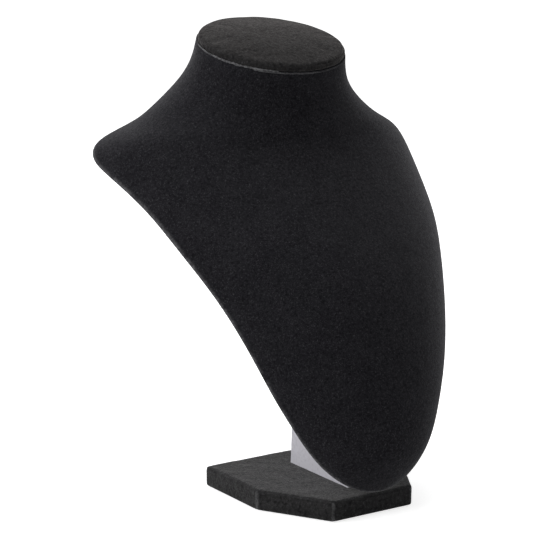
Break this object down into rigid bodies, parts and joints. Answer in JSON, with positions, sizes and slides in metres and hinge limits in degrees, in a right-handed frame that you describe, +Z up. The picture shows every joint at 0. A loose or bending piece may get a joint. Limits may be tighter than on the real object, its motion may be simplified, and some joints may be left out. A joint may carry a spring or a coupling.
{
  "type": "necklace stand",
  "caption": "Jewellery bust wrapped in black velvet, with a curved chest, a flaring neck and an oval padded cap, carried by an upright board on a flat bevelled base.",
  "frame": {"origin": "centre of the base's underside, where the stand rests", "axes": "+Z up; the chest faces -Y; the stand is the same on both sides of the plane X = 0"},
  "size_m": [0.2518, 0.21, 0.3208],
  "materials": {
    "black_velvet": "short dense pile, matt, a little lighter at grazing angles and along edges",
    "grey_felt": "fine flocked felt, matt, pale lilac grey",
    "black_felt": "thin matt felt",
    "moulded_shell": "matt",
    "fibre_board": "unfinished fibre board",
    "foam": "soft open foam",
    "steel": "zinc plated"
  },
  "bodies": {
    "root": {"bust_cover": "black_velvet", "bust_shell": "moulded_shell", "back_panel": "fibre_board", "back_cover": "black_velvet", "back_screws": "steel", "neck_cap_cover": "black_velvet", "neck_cap_pad": "foam", "neck_cap_board": "fibre_board", "upright_board": "fibre_board", "upright_cover": "grey_felt", "base_board": "fibre_board", "base_cover": "black_velvet", "base_liner": "black_felt", "base_screws": "steel"}
  },
  "joints": []
}
